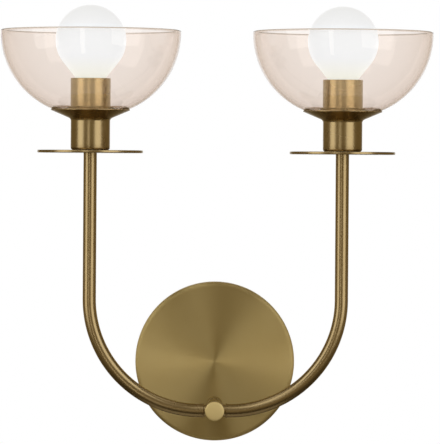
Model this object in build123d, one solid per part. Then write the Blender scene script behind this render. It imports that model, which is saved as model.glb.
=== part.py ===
from build123d import *
import math
import os

# Double arm wall sconce.  Millimetres.
# Origin: the centre of the backplate on the wall.  The wall is the plane Y = 0,
# the front faces -Y, +Z is up and +X is the right-hand side seen from the front.

# Backplate: a spun pan, open towards the wall
plate_diameter = 151.0
plate_depth = 22.0
plate_wall = 1.2
plate_edge_radius = 4.0

# Mounting bracket: a bent steel strap inside the pan
bracket_width = 20.0
bracket_thickness = 2.0
bracket_ear_width = 14.0
bracket_ear_reach = 13.0
bracket_bend_radius = 3.0
bracket_centre_hole = 10.4
box_screw_span_least = 69.85
box_screw_span_most = 88.9
box_slot_width = 4.8

# Small fasteners of the wall side
plate_screw_diameter = 4.0
plate_screw_length = 5.5
plate_screw_from_wall = 8.0
ground_screw_diameter = 4.0
ground_screw_head = 8.0
ground_screw_head_height = 2.6
ground_screw_offset = 19.0

# Threaded tubes with their washers and nuts
nipple_diameter = 9.9
nipple_bore = 7.5
washer_diameter = 19.0
washer_thickness = 1.0
nut_across_flats = 14.0
nut_thickness = 3.0
nipple_end_beyond_nut = 2.5

# Post and hub
post_drop = 41.5
post_diameter = 16.0
post_wall = 1.4
post_bush_length = 9.0
arm_reach = 110.0
hub_diameter = 16.6
hub_front = 9.5
hub_back = 10.0
hub_spigot_length = 8.0
hub_bore = 8.4
finial_diameter = 17.7
finial_thickness = 4.5
finial_chamfer = 0.7
finial_stud_diameter = 6.0
finial_stud_length = 4.0

# Arms and the ferrules that join them to the hub
arm_height = 238.5
arm_diameter = 12.4
arm_wall = 1.2
arm_bend_radius = 103.0
arm_straight_end = 2.5
ferrule_bore = 6.8
ferrule_thread_diameter = 9.8
ferrule_inner_end = 3.0
ferrule_neck_diameter = 11.0
ferrule_ring_diameter = 13.6
ferrule_ring_start = 10.2
ferrule_ring_width = 1.3

# Disc under each cup
disc_diameter = 98.0
disc_thickness = 2.5
disc_edge_radius = 0.6

# Cup with its flared dish
cup_diameter = 36.5
cup_wall = 1.0
cup_height = 29.5
cup_corner_radius = 2.0
cup_throat_radius = 4.0
flare_radius = 36.7
flare_angle = 23.0

# Glass bowl: its section is one arc, centred off the axis, cut flat below
bowl_diameter = 167.5
bowl_arc_radius = 77.5
bowl_wall = 2.8
bowl_floor_thickness = 3.0
bowl_floor_radius = 24.5
bowl_rim_above_widest = 2.0
bowl_rim_flat = 0.3
bowl_seat_gap = 0.2
gasket_seat_inner_radius = 19.5
gasket_clamp_radius = 23.0
gasket_clamp_thickness = 1.5

# Socket sleeve: the outer ring that screws down over the lampholder
sleeve_diameter = 37.2
sleeve_height = 28.0
sleeve_foot_radius = 20.4
sleeve_foot_height = 1.8
sleeve_top_chamfer = 0.4

# Lampholder
holder_diameter = 34.2
holder_below_sleeve_top = 3.0
holder_depth = 27.0
holder_floor_thickness = 2.5
holder_collar_below_floor = 4.5
holder_base_below_floor = 14.0
holder_base_diameter = 29.0
holder_nipple_engagement = 8.0
holder_wire_chamber = 8.0
shell_wall = 0.5
shell_below_holder_top = 2.0
shell_floor_hole = 13.0
contact_length = 8.0
contact_width = 5.0
contact_thickness = 0.6
contact_height = 2.7
contact_fold_radius = 0.7
contact_fold_lean = 2.0

# Lamp
lamp_length = 95.0
globe_above_cap = 3.8
globe_wall = 1.0
globe_neck_radius = 14.5
globe_neck_above_cap = 2.3
globe_sunk_in_cap = 4.0
cap_diameter = 26.3
cap_wall = 0.4
cap_length = 23.0
cap_taper = 2.2
insulator_drop = 2.7
insulator_in_cap = 2.0
eyelet_diameter = 9.0
eyelet_thickness = 0.8
eyelet_stem_diameter = 3.0
eyelet_stem_length = 3.0

# Leads: one live and one neutral conductor from each lampholder
lead_diameter = 1.9
lead_pitch = 2.4
lead_hub_turn = 3.0
lead_plate_turn = 3.4
lead_live_from_wall = 9.4
lead_neutral_from_wall = 5.6
connector_diameter = 8.4
connector_length = 15.5
connector_bore_depth = 9.0
connector_offset = 6.0
connector_above_post = 14.5
lead_straight_below_connector = 1.5

# Clearances
thread_gap = 0.05
hole_gap = 0.25
face_gap = 0.3
lamp_thread_gap = 0.1
contact_gap = 0.3

# ---------------------------------------------------------------------------
# Levels and radii worked out from the sizes above
# ---------------------------------------------------------------------------
nipple_radius = nipple_diameter / 2
nipple_hole_radius = nipple_radius + thread_gap
foot_z = -post_drop
arm_bore_radius = arm_diameter / 2 - arm_wall
post_bore_radius = post_diameter / 2 - post_wall
holder_radius = holder_diameter / 2

plate_inner_face = plate_depth - plate_wall
nut_start = plate_inner_face - washer_thickness - nut_thickness
plate_nipple_end = nut_start - nipple_end_beyond_nut
hub_seat = math.sqrt(hub_diameter ** 2 - ferrule_neck_diameter ** 2) / 2
ferrule_ring_end = ferrule_ring_start + ferrule_ring_width
arm_stub_end = ferrule_ring_end + arm_straight_end
arm_spacing = 2 * (arm_stub_end + arm_bend_radius)
arm_x = arm_spacing / 2
through_cut = 2 * plate_depth

disc_z = foot_z + arm_height
cup_z = disc_z + disc_thickness
cup_floor_z = cup_z + cup_wall
throat_z = cup_z + cup_height
throat_radius = (cup_diameter - cup_wall) / 2
flare_slope = math.tan(math.radians(flare_angle))
flare_half_wall = cup_wall / 2 / math.cos(math.radians(flare_angle))

bowl_arc_offset = bowl_diameter / 2 - bowl_arc_radius
bowl_hole_radius = holder_radius + face_gap


def flare_top(radius):
    """Height of the flared dish's upper face at a radius."""
    return throat_z + (radius - throat_radius) * flare_slope + flare_half_wall


def bowl_drop(radius):
    """How far the bowl's outer face lies below its widest level at a radius."""
    return math.sqrt(bowl_arc_radius ** 2 - (radius - bowl_arc_offset) ** 2)


bowl_tangent_radius = bowl_arc_offset + bowl_arc_radius * math.sin(math.radians(flare_angle))
bowl_contact_radius = min(bowl_tangent_radius, flare_radius)
bowl_widest_z = flare_top(bowl_contact_radius) + bowl_drop(bowl_contact_radius) + bowl_seat_gap
bowl_rim_z = bowl_widest_z + bowl_rim_above_widest
bowl_floor_z = bowl_widest_z - bowl_drop(bowl_floor_radius)
bowl_floor_top_z = bowl_floor_z + bowl_floor_thickness
sleeve_z = bowl_floor_top_z + gasket_clamp_thickness
sleeve_top_z = sleeve_z + sleeve_height
holder_top_z = sleeve_top_z - holder_below_sleeve_top
holder_floor_z = holder_top_z - holder_depth
holder_base_z = holder_floor_z - holder_base_below_floor
stem_top_z = holder_base_z + holder_nipple_engagement
lead_top_z = holder_floor_z - holder_floor_thickness

globe_diameter = lamp_length - insulator_drop - cap_length - globe_above_cap
shell_inner_radius = cap_diameter / 2 + lamp_thread_gap
shell_outer_radius = shell_inner_radius + shell_wall
eyelet_z = holder_floor_z + contact_height + contact_gap
cap_z = eyelet_z + insulator_drop
cap_top_z = cap_z + cap_length
globe_centre_z = eyelet_z + lamp_length - globe_diameter / 2


# ---------------------------------------------------------------------------
# Helpers
# ---------------------------------------------------------------------------
def band(inner, outer, low, high):
    """Section of a plain ring: X is the radius, Y the height."""
    return Pos((inner + outer) / 2, (low + high) / 2) * Rectangle(outer - inner, high - low)


def area(*points):
    """Closed section through corner points given as (radius, height)."""
    return make_face(Polyline(*points, close=True))


def turned(section):
    """Solid of revolution about +Z from a section with X as the radius."""
    return revolve(Plane.XZ * section, Axis.Z)


def off_wall(piece):
    """Lays a piece built along +Z along the post's axis, its height counted from the wall."""
    return Pos(0, 0, foot_z) * Rot(90, 0, 0) * piece


def on_arm(piece):
    """Sets a piece built round the Z axis on the right arm's axis."""
    return Pos(arm_x, -arm_reach, 0) * piece


def hex_nut(low):
    """Hexagon nut for the threaded tube, standing on a level."""
    flats = RegularPolygon(nut_across_flats / 2, 6, major_radius=False)
    return Pos(0, 0, low) * extrude(flats - Circle(nipple_hole_radius), nut_thickness)


def flat_washer(low):
    """Washer for the threaded tube, standing on a level."""
    return turned(band(nipple_hole_radius, washer_diameter / 2, low, low + washer_thickness))


def threaded_tube(low, high):
    """Threaded tube between two levels, its thread drawn as a plain cylinder."""
    return turned(band(nipple_bore / 2, nipple_radius, low, high))


# ---------------------------------------------------------------------------
# Wall side
# ---------------------------------------------------------------------------
def backplate():
    """Spun pan with a rolled edge, bored for the post and for its two side screws."""
    rim = (plate_diameter - plate_wall) / 2
    face = plate_depth - plate_wall / 2
    line = FilletPolyline((0, face), (rim, face), (rim, 0), radius=plate_edge_radius - plate_wall / 2)
    pan = Rot(90, 0, 0) * turned(trace(line, plate_wall))
    post_hole = off_wall(Pos(0, 0, plate_depth) * Cylinder(nipple_radius + hole_gap, through_cut))
    screw_bore = Rot(0, 90, 0) * Cylinder(plate_screw_diameter / 2 + hole_gap, 2 * plate_diameter)
    return pan - post_hole - Pos(0, -plate_screw_from_wall, 0) * screw_bore


def bracket_ear_face():
    """Distance of the ears' outer faces from the centre: they clear the round wall at their edges."""
    inner_wall = plate_diameter / 2 - plate_wall
    return math.sqrt(inner_wall ** 2 - (bracket_ear_width / 2) ** 2) - face_gap


def mounting_bracket():
    """Steel strap on the junction box: two slots, a centre hole and two bent, tapped ears."""
    half = bracket_thickness / 2
    ear = bracket_ear_face() - half
    line = FilletPolyline(
        (-ear, -bracket_ear_reach),
        (-ear, -half),
        (ear, -half),
        (ear, -bracket_ear_reach),
        radius=bracket_bend_radius,
    )
    strap = extrude(trace(line, bracket_thickness), bracket_width / 2, both=True)
    corner = (bracket_width - bracket_ear_width) / 2
    ear_zone = Box(2 * bracket_bend_radius + bracket_thickness, through_cut, corner)
    for side in (-1, 1):
        for level in (-1, 1):
            strap -= Pos(side * ear, 0, level * (bracket_width - corner) / 2) * ear_zone
    slot_travel = (box_screw_span_most - box_screw_span_least) / 2
    slot = Plane.XZ * SlotCenterToCenter(slot_travel, box_slot_width)
    slot_middle = (box_screw_span_most + box_screw_span_least) / 4
    for side in (-1, 1):
        strap -= Pos(side * slot_middle, 0, 0) * extrude(slot, plate_depth, both=True)
    strap -= Rot(90, 0, 0) * Cylinder(bracket_centre_hole / 2, through_cut)
    ground_bore = Rot(90, 0, 0) * Cylinder(ground_screw_diameter / 2 + thread_gap, through_cut)
    strap -= Pos(ground_screw_offset, 0, 0) * ground_bore
    ear_bore = Rot(0, 90, 0) * Cylinder(plate_screw_diameter / 2 + thread_gap, 2 * plate_diameter)
    return strap - Pos(0, -plate_screw_from_wall, 0) * ear_bore


def plate_screws():
    """Two grub screws, flush with the pan's side, screwed into the bracket's ears."""
    middle = (plate_diameter - plate_screw_length) / 2
    screw = Rot(0, 90, 0) * Cylinder(plate_screw_diameter / 2, plate_screw_length)
    return [Pos(side * middle, -plate_screw_from_wall, 0) * screw for side in (-1, 1)]


def ground_screw():
    """Hexagon-headed screw in the bracket for the protective conductor."""
    shank = turned(band(0, ground_screw_diameter / 2, 0, bracket_thickness))
    hexagon = RegularPolygon(ground_screw_head / 2, 6, major_radius=False)
    head = Pos(0, 0, bracket_thickness) * extrude(hexagon, ground_screw_head_height)
    return Pos(ground_screw_offset, 0, 0) * Rot(90, 0, 0) * (shank + head)


def post_washer():
    """Washer inside the pan, under the nut that holds the post."""
    return off_wall(flat_washer(plate_inner_face - washer_thickness))


def post_nut():
    """Nut inside the pan that draws the post against the plate."""
    return off_wall(hex_nut(nut_start))


def post_nipple():
    """Threaded tube from inside the pan into the bush of the post."""
    return off_wall(threaded_tube(plate_nipple_end, plate_depth + post_bush_length))


def post_bush():
    """Tapped bush brazed into the wall end of the post."""
    length = plate_depth + post_bush_length
    return off_wall(turned(band(nipple_hole_radius, post_bore_radius - thread_gap, plate_depth, length)))


def post():
    """Tube that carries the hub in front of the plate."""
    return off_wall(turned(band(post_bore_radius, post_diameter / 2, plate_depth, arm_reach - hub_back)))


def hub():
    """Turned block: spigot into the post, cross-bored for the ferrules, tapped for the finial."""
    back = arm_reach - hub_back
    front = arm_reach + hub_front
    block = band(0, hub_diameter / 2, back, front)
    spigot = band(0, post_bore_radius - thread_gap, back - hub_spigot_length, back)
    bore = band(0, hub_bore / 2, back - hub_spigot_length, arm_reach)
    stud_bore = band(0, finial_stud_diameter / 2 + thread_gap, front - finial_stud_length, front)
    body = off_wall(turned(block + spigot - bore - stud_bore))
    cross_bore = Rot(0, 90, 0) * Cylinder(ferrule_thread_diameter / 2 + thread_gap, 2 * hub_diameter)
    body -= Pos(0, -arm_reach, foot_z) * cross_bore
    spot_face = Rot(0, 90, 0) * Cylinder(ferrule_neck_diameter / 2 + thread_gap, hub_diameter)
    for side in (-1, 1):
        body -= Pos(side * (hub_seat + hub_diameter / 2), -arm_reach, foot_z) * spot_face
    return body


def finial():
    """Flat cap that closes the hub, with its stud."""
    front = arm_reach + hub_front
    radius = finial_diameter / 2
    cap = area(
        (0, front),
        (radius, front),
        (radius, front + finial_thickness - finial_chamfer),
        (radius - finial_chamfer, front + finial_thickness),
        (0, front + finial_thickness),
    )
    stud = band(0, finial_stud_diameter / 2, front - finial_stud_length, front)
    return off_wall(turned(cap + stud))


# ---------------------------------------------------------------------------
# Right arm; the left one is its mirror image
# ---------------------------------------------------------------------------
def arm_ferrule():
    """Turned joint between hub and arm, with the thin ring that shows."""
    steps = (
        (ferrule_thread_diameter / 2, ferrule_inner_end, hub_seat),
        (ferrule_neck_diameter / 2, hub_seat, ferrule_ring_start),
        (ferrule_ring_diameter / 2, ferrule_ring_start, ferrule_ring_end),
        (arm_bore_radius - thread_gap, ferrule_ring_end, arm_stub_end),
    )
    section = Sketch()
    for radius, start, end in steps:
        section += band(ferrule_bore / 2, radius, start, end)
    return Pos(0, -arm_reach, foot_z) * Rot(0, 90, 0) * turned(section)


def arm():
    """Tube bent through a quarter turn of large radius."""
    line = FilletPolyline(
        (ferrule_ring_end, -arm_reach, foot_z),
        (arm_x, -arm_reach, foot_z),
        (arm_x, -arm_reach, disc_z),
        radius=arm_bend_radius,
    )
    start = Plane(origin=line @ 0, z_dir=line % 0)
    return sweep(start * (Circle(arm_diameter / 2) - Circle(arm_bore_radius)), path=line)


def stem_nipple():
    """Threaded tube from the arm's end through disc and cup into the lampholder."""
    return on_arm(threaded_tube(disc_z - post_bush_length, stem_top_z))


def disc():
    """Flat disc with softened edges, clamped between arm and cup."""
    section = band(nipple_radius + hole_gap, disc_diameter / 2, disc_z, cup_z)
    rim = section.vertices().sort_by(Axis.X)[-2:]
    return on_arm(turned(fillet(rim, disc_edge_radius)))


def cup():
    """Spun cup whose wall opens into a wide conical dish."""
    floor = cup_z + cup_wall / 2
    line = FilletPolyline(
        (nipple_radius + hole_gap, floor),
        (throat_radius, floor),
        (throat_radius, throat_z),
        (flare_radius, throat_z + (flare_radius - throat_radius) * flare_slope),
        radius=[cup_corner_radius, cup_throat_radius],
    )
    return on_arm(turned(trace(line, cup_wall)))


def cup_washer():
    """Washer on the floor of the cup."""
    return on_arm(flat_washer(cup_floor_z))


def cup_nut():
    """Nut that clamps cup and disc on the arm's end."""
    return on_arm(hex_nut(cup_floor_z + washer_thickness))


def seat_gasket():
    """Silicone ring that fills the wedge between the dish and the bowl's flat floor."""
    section = area(
        (gasket_seat_inner_radius, flare_top(gasket_seat_inner_radius)),
        (bowl_floor_radius, flare_top(bowl_floor_radius)),
        (bowl_floor_radius, bowl_floor_z),
        (gasket_seat_inner_radius, bowl_floor_z),
    )
    return on_arm(turned(section))


def bowl_outline(wall, floor_z):
    """Half section of a bowl form, inset by a wall and cut flat at a floor."""
    radius = bowl_diameter / 2 - wall
    arc = Pos(bowl_arc_offset, bowl_widest_z) * Circle(bowl_arc_radius - wall)
    core = band(0, bowl_arc_offset, bowl_widest_z - bowl_arc_radius + wall, bowl_widest_z)
    side = band(0, radius, bowl_widest_z, bowl_rim_z)
    return ((arc + core) & band(0, radius, floor_z, bowl_widest_z)) + side


def glass_bowl():
    """Blown glass bowl with a flat, bored floor and a fire-rounded rim."""
    outer = bowl_outline(0, bowl_floor_z)
    inner = bowl_outline(bowl_wall, bowl_floor_top_z)
    hole = band(0, bowl_hole_radius, bowl_floor_z, bowl_floor_top_z)
    section = outer - inner - hole
    rim = section.vertices().sort_by(Axis.Y)[-2:]
    return on_arm(turned(fillet(rim, (bowl_wall - bowl_rim_flat) / 2)))


def clamp_gasket():
    """Flat silicone ring between the bowl's floor and the sleeve's foot."""
    return on_arm(turned(band(bowl_hole_radius, gasket_clamp_radius, bowl_floor_top_z, sleeve_z)))


def socket_sleeve():
    """Metal ring screwed down over the lampholder; its foot clamps the bowl."""
    bore = holder_radius + thread_gap
    outer = sleeve_diameter / 2
    tube = area(
        (bore, sleeve_z),
        (outer, sleeve_z),
        (outer, sleeve_top_z - sleeve_top_chamfer),
        (outer - sleeve_top_chamfer, sleeve_top_z),
        (bore, sleeve_top_z),
    )
    foot = band(bore, sleeve_foot_radius, sleeve_z, sleeve_z + sleeve_foot_height)
    return on_arm(turned(tube + foot))


def lampholder():
    """Moulded lampholder: tapped base, floor and open well for the screw shell."""
    collar_z = holder_floor_z - holder_collar_below_floor
    body = band(0, holder_radius, collar_z, holder_top_z)
    body += band(0, holder_base_diameter / 2, holder_base_z, collar_z)
    well = band(0, shell_outer_radius + thread_gap, holder_floor_z, holder_top_z)
    entry = band(0, nipple_hole_radius, holder_base_z, stem_top_z)
    chamber = band(0, holder_wire_chamber / 2, stem_top_z, lead_top_z)
    return on_arm(turned(body - well - entry - chamber))


def screw_shell():
    """Pressed screw shell of the lampholder, its thread drawn as a plain cylinder."""
    top = holder_top_z - shell_below_holder_top
    wall = band(shell_inner_radius, shell_outer_radius, holder_floor_z, top)
    floor = band(shell_floor_hole / 2, shell_outer_radius, holder_floor_z, holder_floor_z + shell_wall)
    return on_arm(turned(wall + floor))


def centre_contact():
    """Folded spring tongue under the lamp's eyelet."""
    low = holder_floor_z + contact_thickness / 2
    high = holder_floor_z + contact_height - contact_thickness / 2
    line = FilletPolyline(
        (-contact_length / 2, low),
        (contact_length / 2, low),
        (contact_length / 2 - contact_fold_lean, high),
        (-contact_length / 2, high),
        radius=contact_fold_radius,
    )
    return on_arm(extrude(Plane.XZ * trace(line, contact_thickness), contact_width / 2, both=True))


# ---------------------------------------------------------------------------
# Right lamp
# ---------------------------------------------------------------------------
def lamp_eyelet():
    """Contact button under the lamp, riveted into the insulator."""
    head = band(0, eyelet_diameter / 2, eyelet_z, eyelet_z + eyelet_thickness)
    stem = band(0, eyelet_stem_diameter / 2, eyelet_z, eyelet_z + eyelet_stem_length)
    return on_arm(turned(head + stem))


def lamp_insulator():
    """Glass insulator between the eyelet and the screw cap."""
    low = eyelet_z + eyelet_thickness
    inside = cap_diameter / 2 - cap_wall - thread_gap
    section = area(
        (0, low),
        (eyelet_diameter / 2, low),
        (inside - cap_taper, cap_z),
        (inside, cap_z + cap_taper),
        (inside, cap_z + cap_taper + insulator_in_cap),
        (0, cap_z + cap_taper + insulator_in_cap),
    )
    stem_hole = band(0, eyelet_stem_diameter / 2 + lamp_thread_gap, low, eyelet_z + eyelet_stem_length)
    return on_arm(turned(section - stem_hole))


def cap_outline(inset):
    """Half section of the screw cap's form, inset by a wall."""
    radius = cap_diameter / 2 - inset
    return area(
        (0, cap_z),
        (radius - cap_taper, cap_z),
        (radius, cap_z + cap_taper),
        (radius, cap_top_z),
        (0, cap_top_z),
    )


def lamp_cap():
    """Pressed screw cap of the lamp, open above and below."""
    return on_arm(turned(cap_outline(0) - cap_outline(cap_wall)))


def globe_outline(inset, extra_depth):
    """Half section of the globe and its neck, inset by a wall and cut off below the cap's edge."""
    radius = globe_diameter / 2 - inset
    neck = globe_neck_radius - inset
    throat = cap_diameter / 2 - cap_wall - thread_gap - inset
    neck_z = cap_top_z + globe_neck_above_cap
    low_z = cap_top_z - globe_sunk_in_cap - extra_depth
    drop = globe_centre_z - neck_z
    touch = math.acos(radius / math.hypot(neck, drop)) - math.atan2(drop, neck)
    touch_point = (radius * math.cos(touch), globe_centre_z + radius * math.sin(touch))
    funnel = area(
        (0, low_z),
        (throat, low_z),
        (throat, cap_top_z),
        (neck, neck_z),
        touch_point,
        (0, globe_centre_z),
    )
    ball = Pos(0, globe_centre_z) * Circle(radius)
    return funnel + (ball & band(0, radius, touch_point[1], globe_centre_z + radius))


def lamp_globe():
    """Frosted globe with a conical neck that is cemented into the cap."""
    return on_arm(turned(globe_outline(0, 0) - globe_outline(globe_wall, globe_wall)))


# ---------------------------------------------------------------------------
# Leads of the right lampholder, and the crimped connectors that join them to
# those of the left one
# ---------------------------------------------------------------------------
def lead(inward, from_wall, connector_x):
    """One conductor from the lampholder's floor to its connector inside the pan."""
    beside = lead_pitch / 2
    arm_line = arm_x - inward
    level = foot_z + inward
    mouth_z = foot_z + connector_above_post
    points = (
        (arm_line, -arm_reach, lead_top_z),
        (arm_line, -arm_reach, level),
        (beside, -arm_reach, level),
        (beside, -from_wall, level),
        (beside + connector_x, -from_wall, mouth_z - lead_straight_below_connector),
        (beside + connector_x, -from_wall, mouth_z + connector_bore_depth),
    )
    turns = [arm_bend_radius - inward, lead_hub_turn, lead_plate_turn, lead_plate_turn]
    line = FilletPolyline(*points, radius=turns)
    start = Plane(origin=line @ 0, z_dir=line % 0)
    return sweep(start * Circle(lead_diameter / 2), path=line)


def lead_pair(inward, from_wall, connector_x):
    """A conductor of the right lampholder and the mirrored one of the left."""
    right = lead(inward, from_wall, connector_x)
    left = mirror(lead(inward, from_wall, -connector_x), about=Plane.YZ)
    return [left, right]


def connector(x, from_wall):
    """Closed-end crimp cap over two conductors."""
    low = foot_z + connector_above_post
    bore = (lead_pitch + lead_diameter) / 2 + hole_gap
    section = band(0, connector_diameter / 2, low, low + connector_length)
    section -= band(0, bore, low, low + connector_bore_depth)
    return Pos(x, -from_wall, 0) * turned(section)


def wire_connectors():
    """The live connector on the left and the neutral one on the right."""
    live = connector(-connector_offset, lead_live_from_wall)
    neutral = connector(connector_offset, lead_neutral_from_wall)
    return [live, neutral]


# ---------------------------------------------------------------------------
# Nodes
# ---------------------------------------------------------------------------
def write(name, solids):
    """Writes one node, which may hold several solids."""
    export_step(Compound(children=solids), "parts/" + name + ".step")


def build():
    os.makedirs("parts", exist_ok=True)
    for piece in (
        backplate,
        mounting_bracket,
        ground_screw,
        post_washer,
        post_nut,
        post_nipple,
        post_bush,
        post,
        hub,
        finial,
    ):
        write(piece.__name__, [piece()])
    for group in (plate_screws, wire_connectors):
        write(group.__name__, group())
    write("leads_live", lead_pair(lead_pitch / 2, lead_live_from_wall, -connector_offset))
    write("leads_neutral", lead_pair(-lead_pitch / 2, lead_neutral_from_wall, connector_offset))
    for piece in (
        arm_ferrule,
        arm,
        stem_nipple,
        disc,
        cup,
        cup_washer,
        cup_nut,
        seat_gasket,
        glass_bowl,
        clamp_gasket,
        socket_sleeve,
        lampholder,
        screw_shell,
        centre_contact,
        lamp_eyelet,
        lamp_insulator,
        lamp_cap,
        lamp_globe,
    ):
        solid = piece()
        write(piece.__name__ + "_right", [solid])
        write(piece.__name__ + "_left", [mirror(solid, about=Plane.YZ)])


build()
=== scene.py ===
import bpy
import math
from mathutils import Matrix, Vector


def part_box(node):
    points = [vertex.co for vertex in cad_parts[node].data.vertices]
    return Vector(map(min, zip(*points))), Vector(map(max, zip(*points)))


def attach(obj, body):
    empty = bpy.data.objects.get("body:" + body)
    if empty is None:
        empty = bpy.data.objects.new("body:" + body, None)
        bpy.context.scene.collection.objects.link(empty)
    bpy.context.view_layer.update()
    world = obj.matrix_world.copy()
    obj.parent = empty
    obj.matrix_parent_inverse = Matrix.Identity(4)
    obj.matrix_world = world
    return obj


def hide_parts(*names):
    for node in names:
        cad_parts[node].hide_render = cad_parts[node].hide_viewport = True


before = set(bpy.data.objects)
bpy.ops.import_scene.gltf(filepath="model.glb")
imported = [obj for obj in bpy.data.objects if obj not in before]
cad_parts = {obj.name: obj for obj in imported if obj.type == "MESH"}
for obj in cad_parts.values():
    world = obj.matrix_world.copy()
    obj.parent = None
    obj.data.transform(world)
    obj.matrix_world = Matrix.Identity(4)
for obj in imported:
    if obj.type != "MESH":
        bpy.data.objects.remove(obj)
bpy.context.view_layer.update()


# ---------------------------------------------------------------------------
# Camera.  A long lens, 3.8 m in front of the wall, level with the upper part of the arms and a finger's
# width left of the middle, so that the sconce fills the picture as it does in the photograph.
# ---------------------------------------------------------------------------
camera_place = (-0.0066, -3.8, 0.1813)
camera_down = math.radians(0.74)
camera_left = math.radians(0.162)
camera_roll = math.radians(0.40)
film_width = 36.0
lens_length = 322.45

camera_data = bpy.data.cameras.new("camera")
camera_data.sensor_width = film_width
camera_data.lens = lens_length
camera = bpy.data.objects.new("camera", camera_data)
aim = Matrix.Rotation(-camera_left, 3, "Z") @ Matrix.Rotation(math.pi / 2 - camera_down, 3, "X")
camera.matrix_world = Matrix.Translation(camera_place) @ (aim @ Matrix.Rotation(camera_roll, 3, "Z")).to_4x4()
bpy.context.scene.collection.objects.link(camera)
bpy.context.scene.camera = camera
bpy.context.scene.view_settings.view_transform = "Standard"


# ---------------------------------------------------------------------------
# Studio.  A pale floor far below the hanging sconce, a white backdrop behind it and warm, dim walls.  Two
# tall softboxes make the two bright bands that each polished tube shows, and a thin strip between them
# and a lamp above lighten the rest.
# ---------------------------------------------------------------------------
def linear(colour):
    """A colour written as sRGB hex, in the linear values that shaders work with."""
    parts = [int(colour[i:i + 2], 16) / 255 for i in (0, 2, 4)]
    return [c / 12.92 if c <= 0.04045 else ((c + 0.055) / 1.055) ** 2.4 for c in parts] + [1.0]


def put(tree, kind, settings, inputs):
    """Adds a node with its settings.  Each input gets a value, or the output that feeds it."""
    node = tree.nodes.new(kind)
    for name, value in settings.items():
        setattr(node, name, value)
    for name, value in inputs.items():
        if isinstance(value, bpy.types.NodeSocket):
            tree.links.new(value, node.inputs[name])
        else:
            node.inputs[name].default_value = value
    return node


# The real sizes of grain, lines and specks in the comments below are typical values.  None was measured:
# the photograph is too coarse to show them.
def surface(name, values):
    """A material with one shader, whose even values are set on its own sockets."""
    material = bpy.data.materials.new(name)
    material.use_nodes = True
    shader = material.node_tree.nodes["Principled BSDF"]
    for socket, value in values.items():
        shader.inputs[socket].default_value = value
    return material, material.node_tree, shader


def spot(tree):
    """Where a point lies on the object, in metres."""
    return put(tree, "ShaderNodeTexCoord", {}, {}).outputs["Object"]


def noise(tree, place, scale, detail):
    """Cloudy noise, with so many clouds to the metre."""
    return put(tree, "ShaderNodeTexNoise", {}, {"Vector": place, "Scale": scale, "Detail": detail}).outputs[0]


def blend(tree, share, deep, pale):
    """A tone between two colours, each written as sRGB hex or given by another node."""
    ends = [linear(end) if isinstance(end, str) else end for end in (deep, pale)]
    return put(tree, "ShaderNodeMix", {"data_type": "RGBA"}, {0: share, 6: ends[0], 7: ends[1]}).outputs[2]


def between(tree, value, low, high, start=0.0, end=1.0):
    """A value that runs from start to end, carried over to run from low to high."""
    return put(tree, "ShaderNodeMapRange", {}, {
        "Value": value, "From Min": start, "From Max": end, "To Min": low, "To Max": high}).outputs[0]


def smooth_step(tree, value, start, end):
    """0 below the start and 1 above the end, with a soft passage."""
    return put(tree, "ShaderNodeMapRange", {"interpolation_type": "SMOOTHSTEP"}, {
        "Value": value, "From Min": start, "From Max": end}).outputs[0]


def calculate(tree, operation, *values):
    """The result of one sum."""
    return put(tree, "ShaderNodeMath", {"operation": operation}, dict(enumerate(values))).outputs[0]


def seen_directly(tree):
    """1 for what the camera sees, bare or through glass, and 0 for light and reflections."""
    ray = put(tree, "ShaderNodeLightPath", {}, {})
    return calculate(tree, "MAXIMUM", ray.outputs["Is Camera Ray"], ray.outputs["Is Transmission Ray"])


world = bpy.data.worlds.new("studio")
bpy.context.scene.world = world
world.use_nodes = True
tree = world.node_tree
direction = put(tree, "ShaderNodeTexCoord", {}, {}).outputs["Generated"]
bearing = put(tree, "ShaderNodeSeparateXYZ", {}, {"Vector": direction})
# The room's walls are warm and dim, darker towards the ground.  Heights run from 0 below to 1 above.
ground_colour = (0.06, 0.05, 0.03)
wall_tint = (1.08, 0.82, 0.42)
wall_shades = ((0.15, 0.06), (0.4, 0.24), (0.5, 0.25), (0.65, 0.15), (1.0, 0.18))
lift = between(tree, bearing.outputs["Z"], 0.0, 1.0, -1.0, 1.0)
walls = put(tree, "ShaderNodeValToRGB", {}, {"Fac": lift})
stops = walls.color_ramp.elements
stops.remove(stops[1])
stops[0].color = (*ground_colour, 1.0)
for height, shade in wall_shades:
    stops.new(height).color = (*(part * shade for part in wall_tint), 1.0)
# The white backdrop stands behind the sconce and ends near the ground.
behind = smooth_step(tree, bearing.outputs["Y"], 0.86, 0.97)
above_ground = smooth_step(tree, bearing.outputs["Z"], -0.30, -0.12)
backdrop = calculate(tree, "MULTIPLY", behind, above_ground)
white = calculate(tree, "MAXIMUM", seen_directly(tree), backdrop)
studio = blend(tree, white, walls.outputs["Color"], "FFFFFF")
tree.links.new(studio, tree.nodes["Background"].inputs["Color"])


def softbox(name, bearing, distance, width, height, level, brightness):
    """A tall soft lamp, aimed at the sconce.  Its bearing is counted from the camera's side, to the right."""
    middle = Vector((0, -0.11, 0.12))
    turn = math.radians(bearing)
    place = middle + Vector((math.sin(turn), -math.cos(turn), 0)) * distance + Vector((0, 0, level))
    lamp = bpy.data.lights.new(name, "AREA")
    lamp.shape = "RECTANGLE"
    lamp.size = width
    lamp.size_y = height
    lamp.energy = brightness * math.pi * width * height
    holder = bpy.data.objects.new(name, lamp)
    holder.matrix_world = Matrix.Translation(place) @ (middle - place).to_track_quat("-Z", "Y").to_matrix().to_4x4()
    holder.visible_camera = False
    bpy.context.scene.collection.objects.link(holder)


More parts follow.
